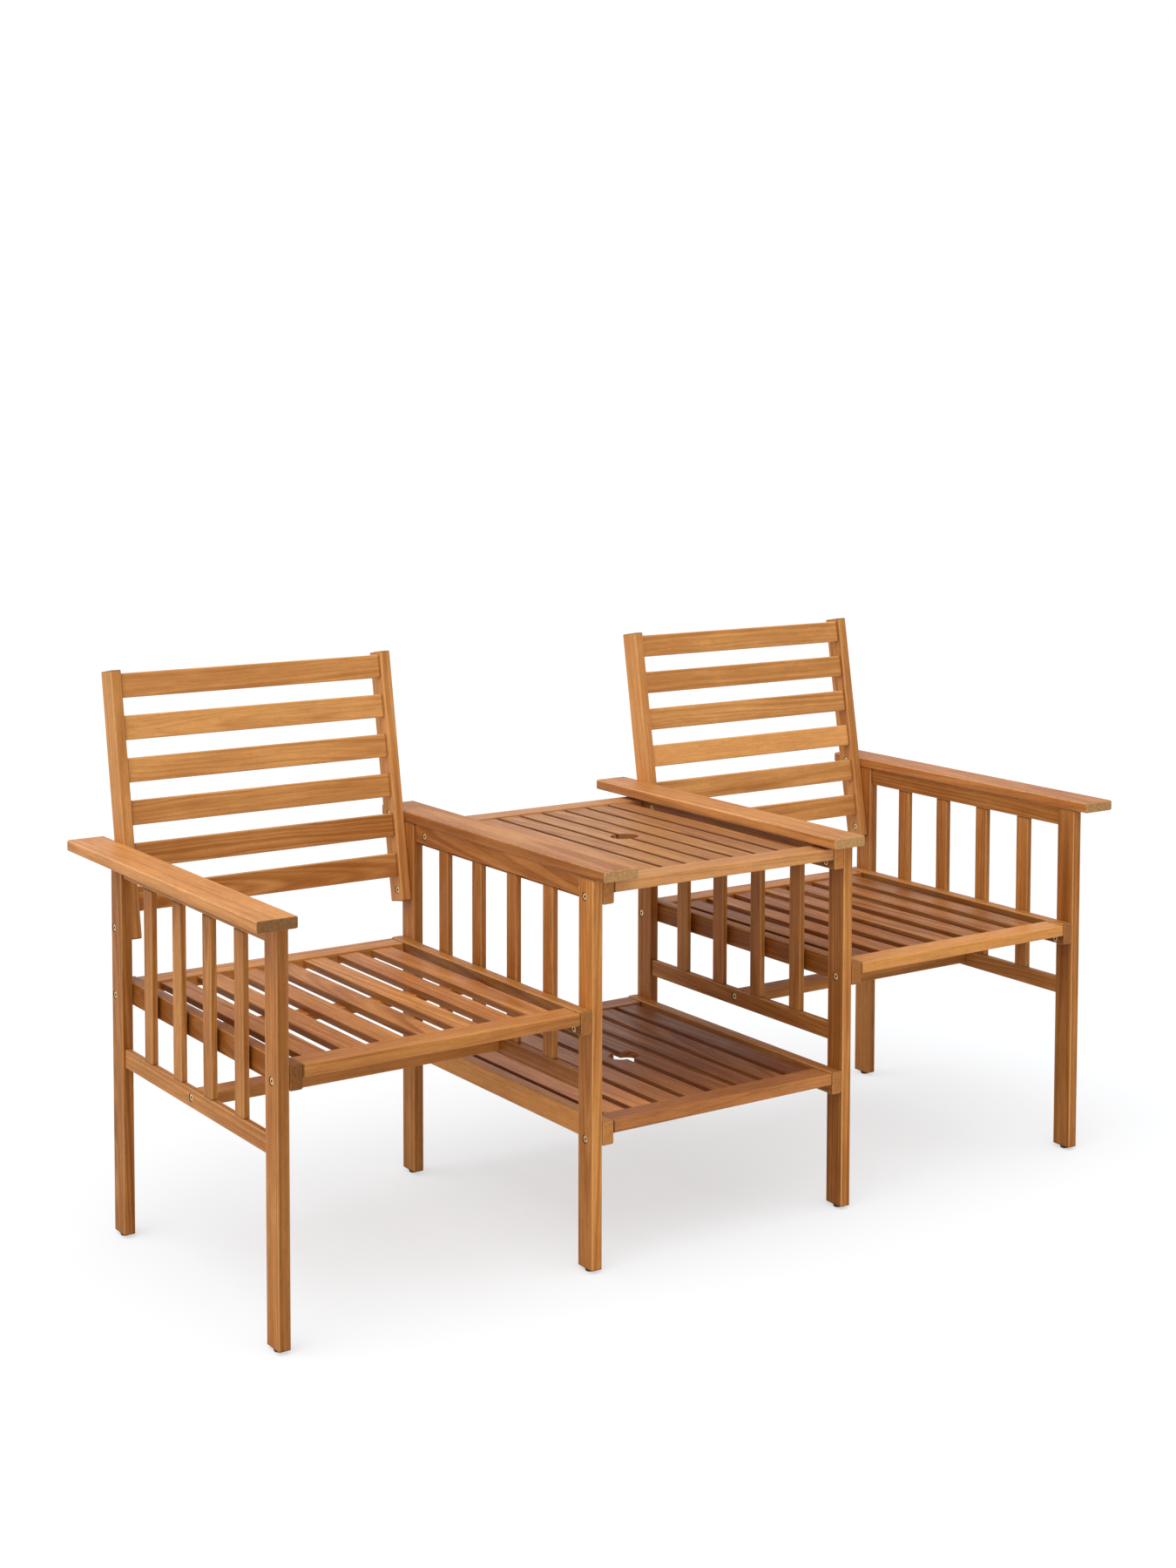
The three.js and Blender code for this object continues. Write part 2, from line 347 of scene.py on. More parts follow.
def boardEdges():
    # Edges is 1 on the eased edges, which wear and a painted highlight make paler, and fades within that pale
    # width,
    # Ends is 1 on the end grain, and Joints is 1 close to it, where a board meets another and painted shade
    # darkens the seam
    tree, given, put = newGroup(
        "boardEdges",
        [("Place", "Vector", (0, 0, 0)), ("Half", "Vector", (1, 1, 1)), ("Wear And Highlight Width", "Float", 0.003)],
        [("Edges", "Float"), ("Ends", "Float"), ("Joints", "Float")])
    inward = vectorMaths(tree, "SUBTRACT", given["Half"], vectorMaths(tree, "ABSOLUTE", given["Place"]))
    fromEnd, fromSide, fromFace = parts(tree, inward)
    nearer = maths(tree, "MINIMUM", fromEnd, fromSide)
    farther = maths(tree, "MAXIMUM", fromEnd, fromSide)
    toEdge = maths(tree, "MAXIMUM", nearer, maths(tree, "MINIMUM", farther, fromFace))
    ragged = noiseAt(tree, vectorMaths(tree, "MULTIPLY", given["Place"], edgeWearAndHighlight["waves"]))
    width = times(tree, given["Wear And Highlight Width"], plus(tree, ragged, edgeWearAndHighlight["leastWidth"]))
    kept = spread(tree, fromEnd, edgeWearAndHighlight["keptDepths"], edgeWearAndHighlight["kept"])
    plug(tree, times(tree, spread(tree, toEdge, (width, 0.0)), kept), put["Edges"])
    ends = spread(tree, fromEnd, edgeWearAndHighlight["endDepths"])
    plug(tree, ends, put["Ends"])
    joints = spread(tree, fromEnd, edgeWearAndHighlight["jointDepths"])
    plug(tree, times(tree, joints, minus(tree, 1.0, ends)), put["Joints"])
    return tree


# how much each mask takes part in the wood's colour and roughness
oilLook = {"leastDepth": 0.02, "cloudDepth": 0.28, "toneDepth": 0.45, "patchyRose": 0.5,
           "fibreLight": (1.09, 0.86), "poreDepth": 0.45, "endFibres": 0.15, "endRays": 0.38,
           "endCover": 0.85, "paintedShadeColour": (1.0, 1.15, 1.3), "roughness": 0.4, "fibreRoughness": 0.1,
           "endRoughness": 0.25, "poreRoughness": 0.2, "fibreHeight": -0.5}


def oiledWood():
    colours = ("Golden", "Deep", "Rosy", "End Grain", "Worn And Highlight")
    masks = ("Rings", "Fibres", "Pores", "Clouds", "Rays", "Edges", "Ends", "Joints", "Painted Shade")
    tree, given, put = newGroup(
        "oiledWood",
        [(label, "Color", (1, 1, 1, 1)) for label in colours] + [("Tree", "Vector", (0, 0, 0))]
        + [(label, "Float", 0) for label in masks]
        + [("Ring Depth", "Float", 0.42), ("Edge Light", "Float", 0.5), ("Joint Shade", "Float", 0.4)],
        [("Color", "Color"), ("Roughness", "Float"), ("Height", "Float")])

    def share(label, amount):
        return times(tree, given[label], amount)

    def darker(colour, amount):
        kept = minus(tree, 1.0, amount)
        return blend(tree, "MULTIPLY", 1.0, colour, together(tree, kept, kept, kept))

    tone, rosiness = parts(tree, given["Tree"])[1:]
    depth = plus(tree, share("Rings", given["Ring Depth"]), share("Clouds", oilLook["cloudDepth"]))
    depth = minus(tree, plus(tree, depth, oilLook["leastDepth"]), times(tree, tone, oilLook["toneDepth"]))
    colour = blend(tree, "MIX", depth, given["Golden"], given["Deep"])
    patchy = plus(tree, share("Clouds", oilLook["patchyRose"]), 1 - oilLook["patchyRose"])
    colour = blend(tree, "MIX", times(tree, rosiness, patchy), colour, given["Rosy"])
    light = spread(tree, given["Fibres"], (0.0, 1.0), oilLook["fibreLight"], "LINEAR")
    colour = blend(tree, "MULTIPLY", 1.0, colour, together(tree, light, light, light))
    colour = blend(tree, "MIX", share("Pores", oilLook["poreDepth"]), colour, given["Deep"])
    flecks = maths(tree, "MULTIPLY_ADD", given["Fibres"], oilLook["endFibres"],
                   share("Rays", oilLook["endRays"]))
    ends = darker(given["End Grain"], flecks)
    colour = blend(tree, "MIX", share("Ends", oilLook["endCover"]), colour, ends)
    # the eased edges are paler: wear, and a painted highlight
    colour = blend(tree, "MIX", share("Edges", given["Edge Light"]), colour, given["Worn And Highlight"])
    # painted shade in the seams, near the ends where a board meets another
    colour = darker(colour, share("Joints", given["Joint Shade"]))
    # painted shade darkens a face and makes it deeper in colour too, and painted light, a shade under 0,
    # makes it paler and duller
    shade = vectorMaths(tree, "MULTIPLY", together(tree, *[given["Painted Shade"]] * 3), oilLook["paintedShadeColour"])
    colour = blend(tree, "MULTIPLY", 1.0, colour, vectorMaths(tree, "SUBTRACT", (1, 1, 1), shade))
    plug(tree, colour, put["Color"])
    dull = plus(tree, share("Fibres", oilLook["fibreRoughness"]), oilLook["roughness"])
    dull = plus(tree, dull, share("Ends", oilLook["endRoughness"]))
    dull = plus(tree, dull, share("Pores", oilLook["poreRoughness"]))
    plug(tree, dull, put["Roughness"])
    plug(tree, minus(tree, share("Fibres", oilLook["fibreHeight"]), given["Pores"]), put["Height"])
    return tree


grainGroup = acaciaGrain()
edgesGroup = boardEdges()
oilGroup = oiledWood()

# the colour of the eased edges is pale from wear and from a painted highlight, and edgeLight is how much of
# it shows
woods = {
    "frameWood": {
        "golden": (214, 146, 76), "deep": (134, 74, 16), "rosy": (174, 100, 40), "wornAndHighlight": (228, 172, 108),
        "endGrain": (166, 106, 54), "ringWidth": 4.5 * mm, "ringDepth": 0.5, "figure": 6 * mm,
        "wearAndHighlightWidth": 3 * mm, "edgeLight": 0.5, "jointShade": 0.65},
    "armWood": {
        "golden": (230, 162, 94), "deep": (154, 90, 36), "rosy": (198, 122, 62), "wornAndHighlight": (250, 214, 168),
        "endGrain": (206, 158, 102), "ringWidth": 6 * mm, "ringDepth": 0.45, "figure": 8 * mm,
        "wearAndHighlightWidth": 2 * mm, "edgeLight": 0.7, "jointShade": 0.0},
    "seatWood": {
        "golden": (220, 150, 78), "deep": (128, 66, 16), "rosy": (176, 94, 40), "wornAndHighlight": (226, 162, 98),
        "endGrain": (130, 78, 36), "ringWidth": 5 * mm, "ringDepth": 0.55, "figure": 6 * mm,
        "wearAndHighlightWidth": 3 * mm, "edgeLight": 0.4, "jointShade": 0.65},
    "tableWood": {
        "golden": (210, 148, 88), "deep": (128, 72, 30), "rosy": (182, 118, 72), "wornAndHighlight": (218, 164, 110),
        "endGrain": (120, 76, 38), "ringWidth": 4 * mm, "ringDepth": 0.5, "figure": 5 * mm,
        "wearAndHighlightWidth": 2 * mm, "edgeLight": 0.1, "jointShade": 0.65},
    "shelfWood": {
        "golden": (206, 136, 74), "deep": (116, 60, 22), "rosy": (162, 92, 48), "wornAndHighlight": (196, 134, 78),
        "endGrain": (110, 66, 30), "ringWidth": 4 * mm, "ringDepth": 0.7, "figure": 6 * mm,
        "wearAndHighlightWidth": 2 * mm, "edgeLight": 0.1, "jointShade": 0.65},
    "backWood": {
        "golden": (246, 180, 106), "deep": (170, 102, 40), "rosy": (212, 136, 72), "wornAndHighlight": (250, 206, 142),
        "endGrain": (160, 112, 58), "ringWidth": 5 * mm, "ringDepth": 0.45, "figure": 12 * mm,
        "wearAndHighlightWidth": 3 * mm, "edgeLight": 0.4, "jointShade": 0.65},
}
woodGloss = {"ior": 1.45, "specular": 0.25, "bumpStrength": 0.35, "bumpDistance": 0.4 * mm}


def woodFinish(name, look):
    material, tree, surface = newMaterial(name)
    place, half, log = (measureOf(tree, label) for label in ("boardPlace", "boardHalf", "boardTree"))
    shade = measureOf(tree, "boardPaintedShade", "Fac")
    grain = groupIn(tree, grainGroup, {"Place": place, "Tree": log, "Ring Width": look["ringWidth"],
                                       "Figure": look["figure"]})
    wornAndHighlight = groupIn(tree, edgesGroup, {"Place": place, "Half": half, "Wear And Highlight Width": look["wearAndHighlightWidth"]})
    colours = {"Golden": "golden", "Deep": "deep", "Rosy": "rosy", "Worn And Highlight": "wornAndHighlight", "End Grain": "endGrain"}
    oiled = groupIn(tree, oilGroup, {
        **{label: paint(*look[key]) for label, key in colours.items()},
        **{label: grain[label] for label in ("Rings", "Fibres", "Pores", "Clouds", "Rays")},
        **{label: wornAndHighlight[label] for label in ("Edges", "Ends", "Joints")},
        "Tree": log, "Painted Shade": shade, "Ring Depth": look["ringDepth"], "Edge Light": look["edgeLight"],
        "Joint Shade": look["jointShade"]})
    tree.links.new(oiled["Color"], surface["Base Color"])
    tree.links.new(oiled["Roughness"], surface["Roughness"])
    tree.links.new(bumpFrom(tree, oiled["Height"], woodGloss), surface["Normal"])
    surface["IOR"].default_value = woodGloss["ior"]
    surface["Specular IOR Level"].default_value = woodGloss["specular"]
    return material


finishes = {name: woodFinish(name, look) for name, look in woods.items()}
print("wood finishes made:", len(finishes))


# metal and plastic

zincLook = {"pale": (255, 236, 188), "deep": (236, 192, 128), "socket": (34, 22, 14), "cloudWaves": 420.0,
            "cloudDetail": 3.0, "cloudSpan": (0.35, 0.65), "roughSpan": (0.3, 0.7), "roughness": (0.32, 0.46),
            "metallic": 0.5}
glideLook = {"dark": (70, 46, 34), "pale": (96, 64, 46), "speckleWaves": 900.0, "roughSpan": (0.3, 0.7),
             "roughness": (0.5, 0.65), "bumpStrength": 0.3, "bumpDistance": 0.2 * mm}


def speckled(tree, waves, detail=2.0):
    place = tree.nodes.new("ShaderNodeTexCoord").outputs["Object"]
    return noiseAt(tree, vectorMaths(tree, "MULTIPLY", place, (waves, waves, waves)), detail)


def zincFinish():
    # yellow zinc, a little cloudy; its film scatters part of the light
    material, tree, surface = newMaterial("yellowZinc")
    cloudy = speckled(tree, zincLook["cloudWaves"], zincLook["cloudDetail"])
    colour = blend(tree, "MIX", spread(tree, cloudy, zincLook["cloudSpan"]), paint(*zincLook["pale"]),
                   paint(*zincLook["deep"]))
    # painted shade inside the socket
    colour = blend(tree, "MIX", measureOf(tree, "socketPaintedShade", "Fac"), colour, paint(*zincLook["socket"]))
    tree.links.new(colour, surface["Base Color"])
    dull = spread(tree, cloudy, zincLook["roughSpan"], zincLook["roughness"], "LINEAR")
    tree.links.new(dull, surface["Roughness"])
    surface["Metallic"].default_value = zincLook["metallic"]
    return material


def glideFinish():
    # brown moulded plastic with a fine mould texture
    material, tree, surface = newMaterial("brownGlidePlastic")
    speckle = speckled(tree, glideLook["speckleWaves"])
    colour = blend(tree, "MIX", speckle, paint(*glideLook["dark"]), paint(*glideLook["pale"]))
    tree.links.new(colour, surface["Base Color"])
    dull = spread(tree, speckle, glideLook["roughSpan"], glideLook["roughness"], "LINEAR")
    tree.links.new(dull, surface["Roughness"])
    tree.links.new(bumpFrom(tree, speckle, glideLook), surface["Normal"])
    return material


finishes["yellowZinc"] = zincFinish()
finishes["brownGlidePlastic"] = glideFinish()


# boards

# how each kind of board runs and how far its edges are eased; steps is the number of faces round an edge
boardKinds = {
    "leg": {"along": "z", "easing": 2 * mm, "endEasing": 1.2 * mm, "steps": 3},
    "armBoard": {"along": "y", "easing": 3 * mm, "endEasing": 1.8 * mm, "steps": 4},
    "upperRail": {"along": "y", "easing": 1.5 * mm, "endEasing": 0, "steps": 2},
    "lowerRail": {"along": "y", "easing": 1.5 * mm, "endEasing": 0, "steps": 2},
    "sideSlat": {"along": "z", "easing": 1.5 * mm, "endEasing": 0, "steps": 2},
    "bearer": {"along": "y", "easing": 3 * mm, "endEasing": 1.8 * mm, "steps": 4},
    "deckRail": {"along": "x", "easing": 2 * mm, "endEasing": 0, "steps": 3},
    "deckSlat": {"along": "y", "easing": 1 * mm, "endEasing": 0, "steps": 2},
    "batten": {"along": "x", "easing": 1.5 * mm, "endEasing": 0, "steps": 2},
    "stretcher": {"along": "x", "easing": 2 * mm, "endEasing": 0, "steps": 3},
    "backPost": {"along": "z", "easing": 3 * mm, "endEasing": 1.8 * mm, "steps": 4},
    "backSlat": {"along": "x", "easing": 2 * mm, "endEasing": 0, "steps": 3},
}
endSteps = 2
boardModels = {}

# how far chance moves a board's tone and rosiness
boardLuck = {"tone": 0.18, "rosiness": 0.15}
usualRosiness = 0.3

# which faces count as ends, sides and hollows, the last being the inside of a pocket or a notch, and the
# painted shade in a hollow
faceRules = {"endTurn": 0.7, "sideTurn": 0.3, "hollowDepth": 1 * mm, "hollowShade": 0.6}


def modelBoard(kind, size):
    # a block with its low corner at the origin, its long edges eased and then its end edges
    plan = boardKinds[kind]
    along = axisOf[plan["along"]]
    bpy.ops.object.select_all(action="DESELECT")
    bpy.ops.mesh.primitive_cube_add(size=1, location=size / 2, scale=size)
    board = bpy.context.active_object
    bpy.ops.object.transform_apply(location=True, rotation=True, scale=True)
    easeEdges(board, lambda start, end: abs(start[along] - end[along]) > size[along] / 2,
              plan["easing"], plan["steps"])
    if plan["endEasing"]:
        easeEdges(board, lambda start, end: abs(start[along] - end[along]) < hair,
                  plan["endEasing"], endSteps)
    return board


def makeBoard(kind, low, high):
    # boards of one kind and size are modelled once, and each gets a copy with its own mesh
    size = Vector(high) - Vector(low)
    key = kind, tuple(round(side, 5) for side in size)
    if key not in boardModels:
        boardModels[key] = modelBoard(kind, size)
        boardModels[key].name = kind + "Model"
    return copyOf(boardModels[key], kind, Matrix.Translation(low))


def writeMeasure(piece, label, values):
    measure = piece.data.attributes.new(label, "FLOAT_VECTOR", "POINT")
    measure.data.foreach_set("vector", [number for value in values for number in value])


def paintedFaceShade(face, middle, half, order, shades):
    # the painted shade on one face of a board, which darkens it; a shade under 0 is painted light and makes
    # it paler
    depth = min(half[axis] - abs(face.center[axis] - middle[axis]) for axis in range(3))
    endWay, sideWay, broadWay = (face.normal[axis] for axis in order)
    if depth > faceRules["hollowDepth"]:
        return shades.get("hollows", faceRules["hollowShade"])
    if abs(endWay) > faceRules["endTurn"]:
        return shades.get("ends", 0.0)
    if abs(sideWay) > faceRules["sideTurn"]:
        return shades.get("sides", 0.0)
    return shades.get("high" if broadWay > 0 else "low", 0.0)


def cutFromLog(board, along, finish, tone=0.0, rosiness=usualRosiness, shades=None):
    # the measures that the wood reads, taken before the board is leaned or joined to others. The shades are
    # painted shade, which is painted light where under 0, on its ends, narrow sides and hollows, and on the
    # broad faces that look to low or high
    low, high = limits(board)
    middle = (low + high) / 2
    half = (high - low) / 2
    rest = sorted((axis for axis in range(3) if axis != axisOf[along]), key=lambda axis: -half[axis])
    order = [axisOf[along]] + rest
    tree = (luck.random(), tone + luck.uniform(-boardLuck["tone"], boardLuck["tone"]),
            max(0.0, rosiness + luck.uniform(-boardLuck["rosiness"], boardLuck["rosiness"])))
    spots = [spot.co - middle for spot in board.data.vertices]
    writeMeasure(board, "boardPlace", [[spot[axis] for axis in order] for spot in spots])
    writeMeasure(board, "boardHalf", [[half[axis] for axis in order]] * len(spots))
    writeMeasure(board, "boardTree", [tree] * len(spots))
    paintedFaceShades = [paintedFaceShade(face, middle, half, order, shades or {}) for face in board.data.polygons]
    board.data.attributes.new("boardPaintedShade", "FLOAT", "FACE").data.foreach_set("value", paintedFaceShades)
    board.data.materials.clear()
    board.data.materials.append(finishes[finish])
    return board


# bolts and plugs

boltSizes = {"sides": 28, "headRadius": 5.4 * mm, "pocketRadius": 6.4 * mm, "pocketDepth": 2.6 * mm,
             "headSink": 0.8 * mm, "headHeight": 1.7 * mm, "rimEasing": 0.6 * mm, "socketSides": 6,
             "socketRadius": 2.4 * mm, "socketDepth": 1.3 * mm, "socketPaintedShade": 0.93}
plugSizes = {"sides": 28, "headRadius": 2.2 * mm, "pocketRadius": 2.3 * mm, "pocketDepth": 2.6 * mm,
             "headSink": 0, "headHeight": 2.5 * mm, "rimEasing": 0.3 * mm, "tone": 1.2}
rimSteps = 2
boltSpots = []
plugSpots = []


def drillPocket(board, spot, sizes):
    cutAway(board, addCylinder(sizes["sides"], sizes["pocketRadius"], 2 * sizes["pocketDepth"], spot, "x"))


def sinkHead(board, spots, sizes, group, spot, side):
    # a round pocket in the board's face, on its low (-1) or high (+1) X side; its head is made later
    drillPocket(board, spot, sizes)
    spots.append({"group": group, "spot": Vector(spot), "side": side})


def modelHead(sizes):
    # a flat round head that looks towards +X, with its outer face at the origin and an eased rim
    height = sizes["headHeight"]
    head = addCylinder(sizes["sides"], sizes["headRadius"], height, (-height / 2, 0, 0), "x")
    bpy.ops.object.transform_apply(location=True, rotation=True, scale=True)
    easeEdges(head, lambda start, end: start.x > -hair and end.x > -hair, sizes["rimEasing"], rimSteps)
    return head


def modelBolt():
    # the head with a hexagon socket, darkened inside with painted shade
    head = modelHead(boltSizes)
    depth = boltSizes["socketDepth"]
    cutAway(head, addCylinder(boltSizes["socketSides"], boltSizes["socketRadius"], 2 * depth, (0, 0, 0), "x"))
    inSocket = [face.center.yz.length < boltSizes["socketRadius"] and -depth - hair < face.center.x < -hair
                for face in head.data.polygons]
    shade = head.data.attributes.new("socketPaintedShade", "FLOAT", "FACE")
    shade.data.foreach_set("value", [boltSizes["socketPaintedShade"] * inside for inside in inSocket])
    return head


def placeHeads(model, spots, sizes, finish=None):
    # a copy of the model at each spot, joined into one piece for each group of spots
    groups = {}
    for place in spots:
        sink = Vector((-place["side"] * sizes["headSink"], 0, 0))
        turn = Matrix.Rotation(math.pi if place["side"] < 0 else 0, 4, "Z")
        copy = copyOf(model, place["group"], Matrix.Translation(place["spot"] + sink) @ turn)
        if not finish:  # a plug, which is wood
            cutFromLog(copy, "z", "armWood", sizes["tone"], 0.0)
        groups.setdefault(place["group"], []).append(copy)
    for group, copies in groups.items():
        finishPiece(group, copies, finish=finish)
    bpy.data.objects.remove(model)


# side frames

sideFrames = [
    {"cad": "left_chair_outer", "name": "leftOuter", "seatSide": 1, "table": False},
    {"cad": "left_chair_inner", "name": "leftInner", "seatSide": -1, "table": True},
    {"cad": "right_chair_inner", "name": "rightInner", "seatSide": 1, "table": True},
    {"cad": "right_chair_outer", "name": "rightOuter", "seatSide": -1, "table": False},
]

# where the bolts stand, as (from the front of the legs, height over the floor)
frameBolts = {
    "seat": {"rearLeg": [(555 * mm, 477.6 * mm), (554 * mm, 374 * mm)], "frontLeg": [(19 * mm, 373 * mm)],
             "lowerRail": [(287.7 * mm, 281.5 * mm)]},
    "table": {"rearLeg": [(546 * mm, 199 * mm)], "frontLeg": [(22 * mm, 560 * mm), (19.6 * mm, 199 * mm)],
              "upperRail": [(498.5 * mm, 571 * mm)]},
}

# small plugs, by use and by whether the frame stands at the table
framePlugs = {("seat", False): {"upperRail": [(461 * mm, 558.6 * mm)]}, ("seat", True): {},
              ("table", True): {"frontLeg": [(36.6 * mm, 570.6 * mm)]}}

sideSlats = {"count": 4, "width": 28 * mm, "railHeight": 28 * mm}
glideSizes = {"sides": 32, "footRadius": 6.5 * mm, "topRadius": 8 * mm, "rimEasing": 0.8 * mm}

# how pale (above nothing) or deep (below nothing) each board is, and the painted shade and light on its
# faces, which at the arms' ends is partly the end grain's own colour
frameTones = {
    "leftOuter": {"frontLeg": -0.1, "rearLeg": -0.2, "arm": 0.7, "upperRail": 0.3, "lowerRail": 0.5,
                  "slats": (0.4, 0.1, 0.4, 0.2)},
    "leftInner": {"frontLeg": 0.1, "rearLeg": 0.05, "arm": -0.7, "upperRail": -0.2, "lowerRail": -0.5,
                  "slats": (0.1, -0.1, -0.2, -0.1)},
    "rightInner": {"frontLeg": -0.4, "rearLeg": -0.1, "arm": 0.05, "upperRail": -0.3, "lowerRail": -0.4,
                   "slats": (0.1, -0.3, -0.1, -0.1)},
    "rightOuter": {"frontLeg": -0.3, "rearLeg": 0.0, "arm": -0.7, "upperRail": -0.5, "lowerRail": -0.1,
                   "slats": (0.0, 0.1, -0.2, 0.0)},
}
frameShades = {
    "leftOuter": {"frontLeg": {"sides": 0.08, "low": -0.15}, "arm": {"ends": 0.42}},
    "leftInner": {"frontLeg": {"sides": -0.3, "low": -0.08}, "arm": {"sides": 0.15, "ends": -0.25}},
    "rightInner": {"frontLeg": {"sides": -0.4, "low": 0.12}, "arm": {"ends": -0.3}},
    "rightOuter": {"frontLeg": {"sides": -0.2, "low": 0.12}, "arm": {"sides": -0.1, "ends": -0.15}},
}
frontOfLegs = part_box("left_chair_outer_front_leg")[0].y


def boltFaces(board, side, label):
    # the pockets on one board of a frame: the seat's on the face away from the seat, the table's on the face
    # away from the table
    for use, towards in (("seat", -side["seatSide"]), ("table", side["seatSide"])):
        if use == "table" and not side["table"]:
            continue
        x = faceAt(board, towards)
        for setback, height in frameBolts[use].get(label, ()):
            spot = (x, frontOfLegs + setback, height)
            sinkHead(board, boltSpots, boltSizes, side["name"] + "Bolts", spot, towards)
        for setback, height in framePlugs[use, side["table"]].get(label, ()):
            spot = (x, frontOfLegs + setback, height)
            sinkHead(board, plugSpots, plugSizes, side["name"] + "Plugs", spot, towards)


def cutBoard(board, side, label, along, finish):
    tone = frameTones[side["name"]][label]
    return cutFromLog(board, along, finish, tone, shades=frameShades[side["name"]].get(label))


def makeLegs(side):
    for end in ("front", "rear"):
        node = f"{side['cad']}_{end}_leg"
        leg = makeBoard("leg", *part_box(node))
        boltFaces(leg, side, end + "Leg")
        cutBoard(leg, side, end + "Leg", "z", "frameWood")
        finishPiece(side["name"] + end.capitalize() + "Leg", [leg], node)


def makeArmBoard(side):
    node = side["cad"] + "_arm_board"
    arm = makeBoard("armBoard", *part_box(node))
    cutBoard(arm, side, "arm", "y", "armWood")
    finishPiece(side["name"] + "ArmBoard", [arm], node)


def makeUpperRail(side):
    node = side["cad"] + "_upper_rail"
    rail = makeBoard("upperRail", *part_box(node))
    boltFaces(rail, side, "upperRail")
    cutBoard(rail, side, "upperRail", "y", "frameWood")
    finishPiece(side["name"] + "UpperRail", [rail], node)


def makeSlattedSide(side):
    # the lower rail and the upright slats that stand in it
    node = side["cad"] + "_lower_rail_with_slats"
    low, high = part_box(node)
    railTop = low.z + sideSlats["railHeight"]
    rail = makeBoard("lowerRail", low, Vector((high.x, high.y, railTop)))
    boltFaces(rail, side, "lowerRail")
    boards = [cutBoard(rail, side, "lowerRail", "y", "frameWood")]
    gap = (high.y - low.y - sideSlats["count"] * sideSlats["width"]) / (sideSlats["count"] + 1)
    for number, tone in enumerate(frameTones[side["name"]]["slats"]):
        start = low.y + gap + number * (sideSlats["width"] + gap)
        slat = makeBoard("sideSlat", Vector((low.x, start, railTop)),
                         Vector((high.x, start + sideSlats["width"], high.z)))
        boards.append(cutFromLog(slat, "z", "frameWood", tone))
    finishPiece(side["name"] + "LowerRailAndSlats", boards, node)


def makeGlides(side):
    for end in ("front", "rear"):
        node = f"{side['cad']}_{end}_glide"
        low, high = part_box(node)
        bpy.ops.object.select_all(action="DESELECT")
        bpy.ops.mesh.primitive_cone_add(vertices=glideSizes["sides"], radius1=glideSizes["footRadius"],
                                        radius2=glideSizes["topRadius"], depth=high.z - low.z,
                                        location=(low + high) / 2)
        glide = bpy.context.active_object
        bpy.ops.object.transform_apply(location=True, rotation=True, scale=True)
        easeEdges(glide, lambda start, end: start.z < low.z + hair and end.z < low.z + hair,
                  glideSizes["rimEasing"], rimSteps)
        name = side["name"] + end.capitalize() + "Glide"
        finishPiece(name, [glide], node, "brownGlidePlastic")


for side in sideFrames:
    makeLegs(side)
    makeArmBoard(side)
    makeUpperRail(side)
    makeSlattedSide(side)
    makeGlides(side)
print("side frames made:", len(sideFrames))


# decks: two seats, the table and the shelf

# innerBolts are those on the left and on the right bearer, as (from the front of the legs, height); the
# shades are painted shade, which is painted light under 0; pairs of tones and shades go from left to right or
# from front to rear, and longer rows from left to right
seatBolts = [(20 * mm, 367 * mm)]
tableBolts = [(21.7 * mm, 558 * mm), (496 * mm, 572 * mm)]
decks = {
    "leftSeat": {
        "cad": "left_chair_seat", "wood": "seatWood", "slot": "seat_wood", "innerBolts": seatBolts,
        "slatDrop": 3 * mm, "batten": True, "poleHole": False,
        "tones": (-0.15, 0.05, -0.2, 0.0, 0.35, 0.1, 0.25), "rosiness": 0.35,
        "topShades": (0.0,) * 7, "gapShade": 0.4, "railTones": (0.5, 0.35), "frontShade": 0.0,
        "bearerTones": (-1.1, -0.2), "innerShade": 0.4, "outerShade": 0.0, "endShades": (0.08, -0.35)},
    "rightSeat": {
        "cad": "right_chair_seat", "wood": "seatWood", "slot": "seat_wood", "innerBolts": seatBolts,
        "slatDrop": 3 * mm, "batten": True, "poleHole": False,
        "tones": (-0.4, -0.2, -0.5, -0.1, -0.3, -0.05, -0.1), "rosiness": 0.2,
        "topShades": (0.2,) * 7, "gapShade": 0.4, "railTones": (1.4, 0.0), "frontShade": -0.2,
        "bearerTones": (-0.9, -0.3), "innerShade": 0.4, "outerShade": 0.0, "endShades": (-0.55, -0.35)},
    "table": {
        "cad": "table", "wood": "tableWood", "slot": "table_wood", "innerBolts": tableBolts,
        "slatDrop": 2 * mm, "slatGap": 6.6 * mm, "batten": False, "poleHole": True,
        "tones": (0.1, 0.1, -0.1, 0.0, -0.25, -0.2, -0.45, -0.25), "rosiness": 0.35,
        "topShades": (0.0,) * 8, "gapShade": 0.5, "railTones": (0.9, 0.3), "frontShade": -0.35,
        "bearerTones": (-0.3, -0.3), "innerShade": 0.3, "outerShade": 0.0, "endShades": (-0.9, -1.3)},
    "shelf": {
        "cad": "shelf", "wood": "shelfWood", "slot": "shelf_wood", "innerBolts": [],
        "slatDrop": 2 * mm, "slatGap": 12.4 * mm, "batten": False, "poleHole": True,
        "tones": (1.0, 0.8, 0.4, 0.2, -0.3, -0.1, -0.4, -0.5), "rosiness": 0.5,
        "topShades": (-0.7, -0.5, -0.1, 0.05, 0.1, 0.15, 0.2, 0.25), "gapShade": 0.3,
        "railTones": (0.6, 0.1), "frontShade": -0.15,
        "bearerTones": (1.1, 0.0), "innerShade": 0.2, "outerShade": -0.2, "endShades": (-0.8, -0.75)},
}
